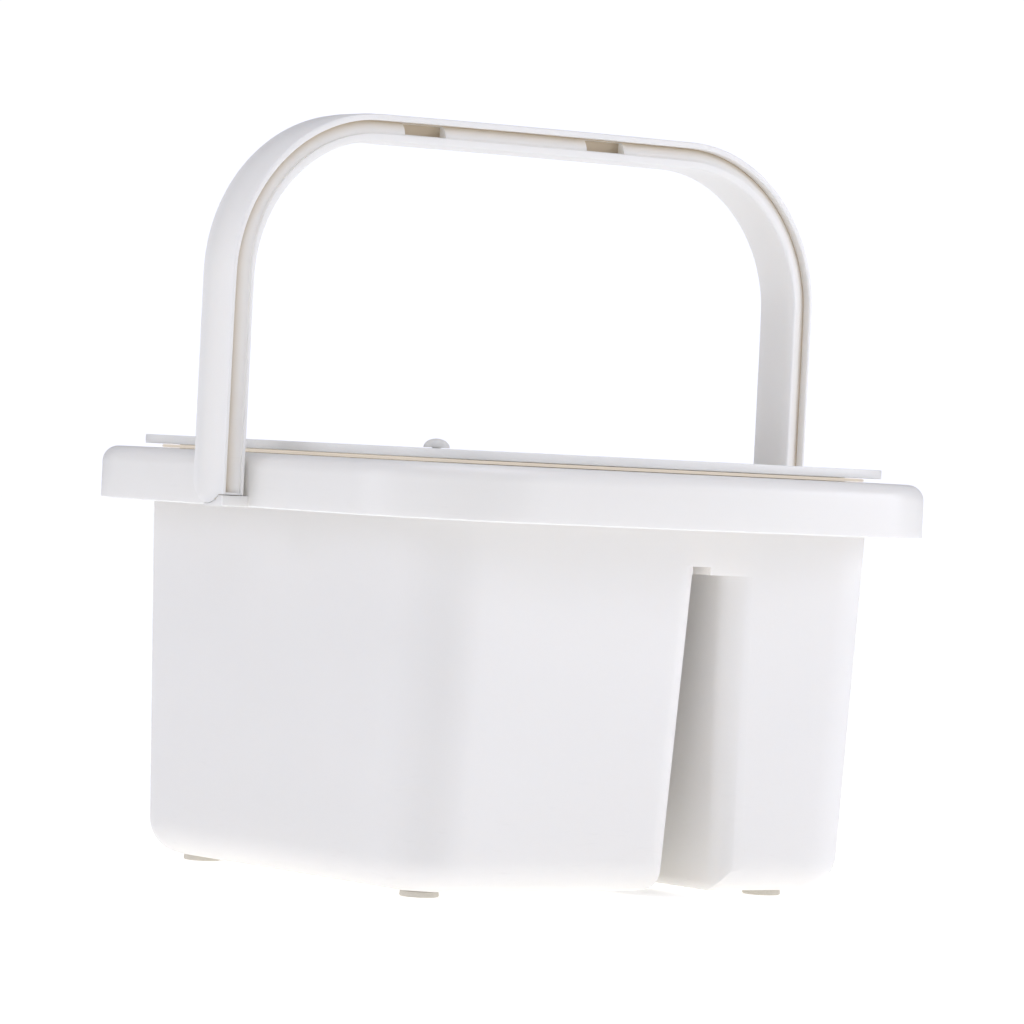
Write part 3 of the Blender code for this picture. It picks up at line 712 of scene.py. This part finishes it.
def channel_faces(piece, settings):
    """Second material on the grooves' floors: sunk faces that look mostly along Y."""
    mesh = piece.data
    normals = np.empty(len(mesh.polygons) * 3)
    centres = np.empty(len(mesh.polygons) * 3)
    mesh.polygons.foreach_get("normal", normals)
    mesh.polygons.foreach_get("center", centres)
    normals = normals.reshape(-1, 3)
    depth = 0.5 * STRAP_WIDTH - np.abs(centres.reshape(-1, 3)[:, 1])
    index = np.zeros(len(mesh.polygons), dtype=np.int32)
    index[(np.abs(normals[:, 1]) > 0.5) & (depth > 0.8 * settings.groove_inner)] = 1
    mesh.polygons.foreach_set("material_index", index)
    mesh.update()


def build_foot(settings, node):
    """Pad turned from an eased outer edge, with one shallow ring pressed into its underside.

    The edge is a quarter circle, e(1 - sin a) in from the radius and e(1 - cos a) up.
    """
    low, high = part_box(node)
    centre = (0.5 * (low[0] + high[0]), 0.5 * (low[1] + high[1]), 0.0)
    radius = settings.radius
    top = high[2]
    bend = np.linspace(0.0, QUARTER_TURN, 8)
    profile = [(0.3 * radius, 0.0), (0.34 * radius, PAD_RING_DEPTH), (0.52 * radius, PAD_RING_DEPTH),
               (0.56 * radius, 0.0)]
    profile += [(radius - PAD_EASE * (1.0 - math.sin(a)), PAD_EASE * (1.0 - math.cos(a))) for a in bend]
    profile += [(radius - 0.0002, top - 0.0002), (radius - 0.0004, top)]
    return turned_solid("pad_" + node[5:], profile, centre, 48)


# ---------------------------------------------------------------- materials

def linear(hex_colour):
    """sRGB hex to a linear RGBA tuple."""
    srgb = np.array([int(hex_colour[i:i + 2], 16) for i in (0, 2, 4)]) / 255.0
    rgb = np.where(srgb <= 0.04045, srgb / 12.92, ((srgb + 0.055) / 1.055) ** 2.4)
    return (*rgb.tolist(), 1.0)


def add_node(tree, kind, links=None, **settings):
    """Add a node, set its attributes, and fill its inputs with values or with other nodes' outputs."""
    item = tree.nodes.new(kind)
    for key, value in settings.items():
        setattr(item, key, value)
    for key, value in (links or {}).items():
        if isinstance(value, bpy.types.NodeSocket):
            tree.links.new(value, item.inputs[key])
        else:
            item.inputs[key].default_value = value
    return item


def moulded_plastic(name, colour, roughness, grain_mm, grain_depth_mm, mottle, scuff_from_z, scuff_to_z,
                    soak_mm=6.0, painted_shade=None):
    """Injection-moulded polypropylene: even colour, fine mould grain, slow sink-mark waves, faint scuffs.

    The last argument is None, or the colour, shallow |y| and deep |y| of a painted shade that darkens the
    surface with depth.
    """
    material = bpy.data.materials.new(name)
    material.use_nodes = True
    tree = material.node_tree
    shader = tree.nodes["Principled BSDF"]
    shader.inputs["IOR"].default_value = 1.49
    shader.inputs["Metallic"].default_value = 0.0
    # light soaks some millimetres into the milky plastic, red furthest
    shader.inputs["Subsurface Weight"].default_value = 0.5
    shader.inputs["Subsurface Radius"].default_value = SOAK_COLOUR
    shader.inputs["Subsurface Scale"].default_value = soak_mm / MM_PER_M
    place = add_node(tree, "ShaderNodeTexCoord").outputs["Object"]
    # slow variation of pigment and gloss, some 90 mm from light to dark
    slow = add_node(tree, "ShaderNodeTexNoise", {"Vector": place, "Scale": MM_PER_M / SINK_MARK_MM,
                                                 "Detail": 2.0})
    base = linear(colour)
    dark = tuple(c * (1.0 - mottle) for c in base[:3]) + (1.0,)
    pigment = add_node(tree, "ShaderNodeMix", {0: slow.outputs["Fac"], 6: dark, 7: base}, data_type="RGBA")
    # handling scuffs: level streaks of about 14 by 2 mm, full at the first height and gone at the second
    stretch = add_node(tree, "ShaderNodeMapping", {"Vector": place, "Scale": STREAK_STRETCH})
    streaks = add_node(tree, "ShaderNodeTexNoise", {"Vector": stretch.outputs["Vector"],
                                                    "Scale": MM_PER_M / STREAK_MM,
                                                    "Detail": 4.0, "Roughness": 0.6})
    marks = add_node(tree, "ShaderNodeMapRange", {"Value": streaks.outputs["Fac"], "From Min": 0.62,
                                                  "From Max": 0.74})
    height = add_node(tree, "ShaderNodeSeparateXYZ", {"Vector": place})
    zone = add_node(tree, "ShaderNodeMapRange", {"Value": height.outputs["Z"], "From Min": scuff_to_z,
                                                 "From Max": scuff_from_z})
    worn = add_node(tree, "ShaderNodeMath", {0: marks.outputs["Result"], 1: zone.outputs["Result"]},
                    operation="MULTIPLY")
    worn_colour = tuple(c * SCUFF_SHADE for c in base[:3]) + (1.0,)
    surface = add_node(tree, "ShaderNodeMix", {0: worn.outputs["Value"], 6: pigment.outputs[2],
                                               7: worn_colour}, data_type="RGBA")
    if painted_shade is None:
        tree.links.new(surface.outputs[2], shader.inputs["Base Color"])
    else:
        # painted warm shade that darkens with depth, from none at the shallow |y| to full at the deep one
        painted_shade_colour, shallow_y, deep_y = painted_shade
        across = add_node(tree, "ShaderNodeMath", {0: height.outputs["Y"]}, operation="ABSOLUTE")
        sunk = add_node(tree, "ShaderNodeMapRange", {"Value": across.outputs["Value"],
                                                     "From Min": shallow_y, "From Max": deep_y})
        floor = add_node(tree, "ShaderNodeMix", {0: sunk.outputs["Result"], 6: surface.outputs[2],
                                                 7: linear(painted_shade_colour)}, data_type="RGBA")
        tree.links.new(floor.outputs[2], shader.inputs["Base Color"])
    gloss = add_node(tree, "ShaderNodeMapRange", {"Value": slow.outputs["Fac"], "From Min": 0.3,
                                                  "From Max": 0.7, "To Min": roughness - 0.03,
                                                  "To Max": roughness + 0.03})
    dull = add_node(tree, "ShaderNodeMath", {0: worn.outputs["Value"], 1: SCUFF_ROUGHNESS,
                                             2: gloss.outputs["Result"]}, operation="MULTIPLY_ADD")
    tree.links.new(dull.outputs["Value"], shader.inputs["Roughness"])
    # mould grain, drawn a little coarser than the real spark-eroded texture so that it shows
    grain = add_node(tree, "ShaderNodeTexNoise", {"Vector": place, "Scale": MM_PER_M / grain_mm,
                                                  "Detail": 3.0, "Roughness": 0.55})
    relief = add_node(tree, "ShaderNodeBump", {"Height": grain.outputs["Fac"], "Strength": 1.0,
                                               "Distance": grain_depth_mm / MM_PER_M})
    wave = add_node(tree, "ShaderNodeBump", {"Height": slow.outputs["Fac"], "Strength": 1.0,
                                             "Distance": SINK_MARK_RELIEF,
                                             "Normal": relief.outputs["Normal"]})
    tree.links.new(wave.outputs["Normal"], shader.inputs["Normal"])
    return material


def soft_rubber(name, colour, roughness, grain_mm, glow=0.0):
    """Pressed rubber: matt, speckled with fine filler, slightly pitted."""
    material = bpy.data.materials.new(name)
    material.use_nodes = True
    tree = material.node_tree
    shader = tree.nodes["Principled BSDF"]
    shader.inputs["IOR"].default_value = 1.52
    # a glow above nought is painted light: the piece shines in its own colour though it is no lamp
    shader.inputs["Emission Color"].default_value = linear(colour)
    shader.inputs["Emission Strength"].default_value = glow
    place = add_node(tree, "ShaderNodeTexCoord").outputs["Object"]
    speck = add_node(tree, "ShaderNodeTexNoise", {"Vector": place, "Scale": MM_PER_M / grain_mm,
                                                  "Detail": 3.0})
    base = linear(colour)
    dark = tuple(c * RUBBER_SPECK_SHADE for c in base[:3]) + (1.0,)
    tint = add_node(tree, "ShaderNodeMix", {0: speck.outputs["Fac"], 6: dark, 7: base}, data_type="RGBA")
    tree.links.new(tint.outputs[2], shader.inputs["Base Color"])
    gloss = add_node(tree, "ShaderNodeMapRange", {"Value": speck.outputs["Fac"],
                                                  "To Min": roughness - 0.06,
                                                  "To Max": roughness + 0.06})
    tree.links.new(gloss.outputs["Result"], shader.inputs["Roughness"])
    relief = add_node(tree, "ShaderNodeBump", {"Height": speck.outputs["Fac"], "Strength": 1.0,
                                               "Distance": RUBBER_RELIEF})
    tree.links.new(relief.outputs["Normal"], shader.inputs["Normal"])
    return material


def studio_paint(name, colour, glow):
    """Matt white acrylic sheet of a light table, which gives some light of its own."""
    material = bpy.data.materials.new(name)
    material.use_nodes = True
    tree = material.node_tree
    shader = tree.nodes["Principled BSDF"]
    shader.inputs["Base Color"].default_value = linear(colour)
    shader.inputs["Roughness"].default_value = 0.9
    shader.inputs["Specular IOR Level"].default_value = 0.1
    shader.inputs["Emission Color"].default_value = (1.0, 1.0, 1.0, 1.0)
    shader.inputs["Emission Strength"].default_value = glow
    return material


# ---------------------------------------------------------------- operators

class CADDY_OT_tub(bpy.types.Operator):
    """Build the tub"""
    bl_idname = "caddy.tub"
    bl_label = "Tub"

    def execute(self, context):
        settings = context.scene.caddy_tub
        # spark-eroded mould finish gives the tub its matt face
        plastic = moulded_plastic("matt_moulded_polypropylene", settings.colour, roughness=0.56,
                                  grain_mm=1.6, grain_depth_mm=0.035, mottle=0.015,
                                  scuff_from_z=0.0, scuff_to_z=0.11, soak_mm=5.0)
        finish_piece(build_tub(settings), plastic, "base", "tub")
        return {"FINISHED"}


class CADDY_OT_collar(bpy.types.Operator):
    """Build the collar"""
    bl_idname = "caddy.collar"
    bl_label = "Collar"

    def execute(self, context):
        scene = context.scene
        # polished mould finish: glossy with a trace of orange peel
        plastic = moulded_plastic("glossy_moulded_polypropylene", scene.caddy_collar.colour,
                                  roughness=0.31, grain_mm=5.0, grain_depth_mm=0.02, mottle=0.012,
                                  scuff_from_z=0.165, scuff_to_z=0.19)
        collar = build_collar(scene.caddy_tub, scene.caddy_collar, scene.caddy_handle)
        finish_piece(collar, plastic, "base", "rim_collar")
        return {"FINISHED"}


class CADDY_OT_lid(bpy.types.Operator):
    """Build the lid, its sealing strip and its knob"""
    bl_idname = "caddy.lid"
    bl_label = "Lid"

    def execute(self, context):
        scene = context.scene
        settings = scene.caddy_lid
        # finely brushed mould finish: a satin plate, and a knob that fingers have dulled
        plate = moulded_plastic("satin_moulded_polypropylene", settings.colour, roughness=0.36,
                                grain_mm=3.0, grain_depth_mm=0.02, mottle=0.012,
                                scuff_from_z=0.21, scuff_to_z=0.19)
        knob = moulded_plastic("handled_polypropylene_knob", settings.knob_colour, roughness=0.40,
                               grain_mm=1.2, grain_depth_mm=0.02, mottle=0.03,
                               scuff_from_z=0.21, scuff_to_z=0.2)
        # the strip glows with painted light, which lightens it where it sits in the shaded gap under the
        # plate
        rubber = soft_rubber("tan_foam_rubber_painted_glow", settings.seal_colour, roughness=0.72, grain_mm=1.4,
                             glow=0.60)
        lid = build_lid(scene.caddy_tub, scene.caddy_collar, settings)
        finish_piece(lid, plate, "lid_body", "lid")
        finish_piece(build_seal(scene.caddy_collar), rubber, "lid_body", "lid_seal")
        finish_piece(build_knob(), knob, "lid_body", "lid_knob")
        return {"FINISHED"}


class CADDY_OT_handle(bpy.types.Operator):
    """Build the bail handle"""
    bl_idname = "caddy.handle"
    bl_label = "Handle"

    def execute(self, context):
        settings = context.scene.caddy_handle
        # satin mould finish, rubbed a little along the top bar where hands hold it
        plastic = moulded_plastic("satin_moulded_polypropylene_strap", settings.colour, roughness=0.38,
                                  grain_mm=2.2, grain_depth_mm=0.02, mottle=0.015,
                                  scuff_from_z=0.36, scuff_to_z=0.30)
        # the grooves' floors were never polished in the mould; their tan is painted shade, darkest where the
        # grooves are deepest
        half = 0.5 * STRAP_WIDTH
        channel = moulded_plastic("dull_polypropylene_channel_painted_shade", settings.colour, roughness=0.6,
                                  grain_mm=1.5, grain_depth_mm=0.03, mottle=0.02,
                                  # on the channel the scuff streaks are full at the legs' feet and gone at
                                  # the bar: painted shade, darker towards the bottom
                                  scuff_from_z=0.18, scuff_to_z=0.36,
                                  painted_shade=(settings.channel_painted_shade, half - settings.groove_inner,
                                        half - settings.groove))
        bail = build_handle(settings)
        finish_piece(bail, plastic, "bail", "handle")
        bail.data.materials.append(channel)
        channel_faces(bail, settings)
        return {"FINISHED"}


class CADDY_OT_feet(bpy.types.Operator):
    """Build the four foot pads"""
    bl_idname = "caddy.feet"
    bl_label = "Feet"

    def execute(self, context):
        settings = context.scene.caddy_feet
        # pressed pads: dull, with the filler showing as fine specks
        rubber = soft_rubber("grey_pressed_rubber", settings.colour, roughness=0.78, grain_mm=1.0)
        for end in ("left", "right"):
            for face in ("front", "back"):
                node = "foot_%s_%s" % (face, end)
                finish_piece(build_foot(settings, node), rubber, "base", node)
        return {"FINISHED"}


class CADDY_OT_stage(bpy.types.Operator):
    """Set the floor, the light and the camera"""
    bl_idname = "caddy.stage"
    bl_label = "Stage"

    def execute(self, context):
        settings = context.scene.caddy_stage
        scene = context.scene
        make_floor()
        make_air(settings)
        make_light("front_softbox", place=(2.2, -1.5, 0.9), size=1.4, power=settings.key)
        make_light("end_softbox", place=(-2.3, 1.2, 0.9), size=1.4, power=settings.side)
        make_light("front_umbrella", place=(-1.45, -1.75, 1.45), size=1.2, power=settings.front)
        make_top_light(settings)
        make_camera(settings)
        scene.view_settings.view_transform = "Standard"
        scene.view_settings.look = "None"
        return {"FINISHED"}


def make_floor():
    """White floor, level and square."""
    reach = FLOOR_REACH
    corners = np.array([(-reach, -reach, 0.0), (reach, -reach, 0.0), (reach, reach, 0.0),
                        (-reach, reach, 0.0)])
    floor = mesh_from("studio_floor", corners, [[0, 1, 2, 3]])
    floor.data.materials.append(studio_paint("white_light_table", "FBFBFB", FLOOR_GLOW))


def make_air(settings):
    """White backdrop that lights the object less than it shows."""
    world = bpy.data.worlds.new("white_studio_air")
    bpy.context.scene.world = world
    world.use_nodes = True
    tree = world.node_tree
    background = tree.nodes["Background"]
    background.inputs["Color"].default_value = (*LAMP_TINT, 1.0)
    seen = add_node(tree, "ShaderNodeLightPath").outputs["Is Camera Ray"]
    strength = add_node(tree, "ShaderNodeMath", {0: seen, 1: BACKDROP_SEEN - settings.air,
                                                 2: settings.air}, operation="MULTIPLY_ADD")
    tree.links.new(strength.outputs["Value"], background.inputs["Strength"])


def make_top_light(settings):
    """Broad light from straight above, so the floor shows white and the walls keep their shade."""
    data = bpy.data.lights.new("top_light", "SUN")
    data.energy = settings.top * math.pi
    data.angle = math.radians(50.0)
    data.color = LAMP_TINT
    light = bpy.data.objects.new("top_light", data)
    bpy.context.scene.collection.objects.link(light)


def make_light(name, place, size, power):
    """Square soft light aimed at the object's middle."""
    data = bpy.data.lights.new(name, "AREA")
    data.shape = "SQUARE"
    data.size = size
    data.energy = power
    data.color = LAMP_TINT
    light = bpy.data.objects.new(name, data)
    bpy.context.scene.collection.objects.link(light)
    light.location = place
    light.rotation_euler = (Vector(LAMP_AIM) - Vector(place)).to_track_quat("-Z", "Y").to_euler()


def make_camera(settings):
    """Camera a little over the lid's height, turned about its own axis by under three degrees."""
    data = bpy.data.cameras.new("studio_camera")
    data.lens = settings.lens
    data.sensor_width = 36.0
    data.dof.use_dof = False
    camera = bpy.data.objects.new("studio_camera", data)
    bpy.context.scene.collection.objects.link(camera)
    right = Vector(CAMERA_RIGHT)
    up = Vector(CAMERA_UP)
    back = right.cross(up)
    turn = Matrix((right, up, back)).transposed().to_4x4()
    camera.matrix_world = Matrix.Translation(Vector(settings.camera_at)) @ turn
    bpy.context.scene.camera = camera


class CADDY_PT_panel(bpy.types.Panel):
    """Caddy settings and build steps"""
    bl_label = "Cleaning caddy"
    bl_idname = "CADDY_PT_panel"
    bl_space_type = "VIEW_3D"
    bl_region_type = "UI"
    bl_category = "Caddy"

    def draw(self, context):
        for name, step in STEPS:
            group = getattr(context.scene, name)
            box = self.layout.box()
            box.operator(step.bl_idname)
            for key in group.__annotations__:
                box.prop(group, key)


STEPS = (("caddy_tub", CADDY_OT_tub), ("caddy_collar", CADDY_OT_collar), ("caddy_lid", CADDY_OT_lid),
         ("caddy_handle", CADDY_OT_handle), ("caddy_feet", CADDY_OT_feet), ("caddy_stage", CADDY_OT_stage))
GROUPS = (("caddy_tub", CaddyTubSettings), ("caddy_collar", CaddyCollarSettings),
          ("caddy_lid", CaddyLidSettings), ("caddy_handle", CaddyHandleSettings),
          ("caddy_feet", CaddyFeetSettings), ("caddy_stage", CaddyStageSettings))


def register():
    for name, group in GROUPS:
        bpy.utils.register_class(group)
        setattr(bpy.types.Scene, name, PointerProperty(type=group))
    for _, step in STEPS:
        bpy.utils.register_class(step)
    bpy.utils.register_class(CADDY_PT_panel)


def unregister():
    bpy.utils.unregister_class(CADDY_PT_panel)
    for _, step in reversed(STEPS):
        bpy.utils.unregister_class(step)
    for name, group in reversed(GROUPS):
        delattr(bpy.types.Scene, name)
        bpy.utils.unregister_class(group)


def main():
    register()
    for build in (bpy.ops.caddy.tub, bpy.ops.caddy.collar, bpy.ops.caddy.lid, bpy.ops.caddy.handle,
                  bpy.ops.caddy.feet, bpy.ops.caddy.stage):
        build()


if __name__ == "__main__":
    main()
